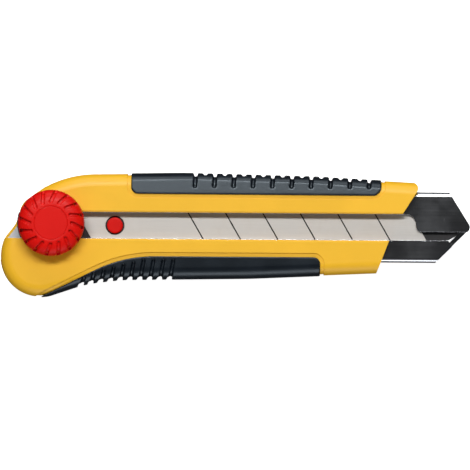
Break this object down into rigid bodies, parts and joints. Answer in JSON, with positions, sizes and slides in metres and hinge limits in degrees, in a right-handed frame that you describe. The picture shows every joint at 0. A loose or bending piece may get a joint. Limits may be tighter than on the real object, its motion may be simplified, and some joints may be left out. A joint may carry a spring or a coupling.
{
  "type": "snap-off knife",
  "caption": "Heavy-duty snap-off knife with a segmented blade in a steel channel, a soft-gripped plastic handle and a thumb wheel that clamps the blade slider.",
  "frame": {"origin": "middle of the back face, under the blade's centreline", "axes": "+X along the blade towards the nose, +Y away from the cutting edge, +Z out of the front through the thumb wheel"},
  "size_m": [0.1763, 0.0472, 0.0275],
  "materials": {
    "yellow_shell": "moulded yellow plastic, satin gloss",
    "soft_grip": "moulded soft black rubber",
    "channel_steel": "polished folded steel",
    "blade_steel": "ground steel",
    "black_plastic": "moulded black plastic",
    "red_plastic": "moulded red plastic",
    "fastener_steel": "zinc-plated steel",
    "spring_steel": "blackened spring steel",
    "nut_brass": "turned brass"
  },
  "bodies": {
    "handle": {"back_shell": "yellow_shell", "upper_front_shell": "yellow_shell", "lower_front_shell": "yellow_shell", "upper_grip_front": "soft_grip", "upper_grip_back": "soft_grip", "lower_grip_front": "soft_grip", "lower_grip_back": "soft_grip", "blade_channel": "channel_steel", "blade_guide": "black_plastic", "guide_rivets": "fastener_steel", "channel_screws": "fastener_steel", "shell_screws": "fastener_steel"},
    "carriage": {"slider": "black_plastic", "blade": "blade_steel", "blade_stud": "red_plastic", "thrust_washer": "fastener_steel"},
    "wheel": {"lock_wheel": "red_plastic", "wheel_nut": "nut_brass", "wheel_cap": "red_plastic"},
    "clamp": {"clamp_plate": "fastener_steel", "clamp_bolt": "fastener_steel", "bolt_clip": "spring_steel"}
  },
  "joints": [
    {"name": "blade_slide", "type": "slide", "parent": "handle", "child": "carriage", "axis": [1, 0, 0], "range_m": [0, 0.098]},
    {"name": "wheel_turn", "type": "hinge", "parent": "carriage", "child": "wheel", "pos_m": [-0.069, 0.0007, 0.019], "axis": [0, 0, 1], "range_deg": [0, 180.05]},
    {"name": "clamp_travel", "type": "slide", "parent": "carriage", "child": "clamp", "axis": [0, 0, -1], "range_m": [0, 0.0005]}
  ],
  "couplings": [
    {"joint": "wheel_turn", "follows": "clamp_travel", "rad_per_m": 6283.2}
  ]
}
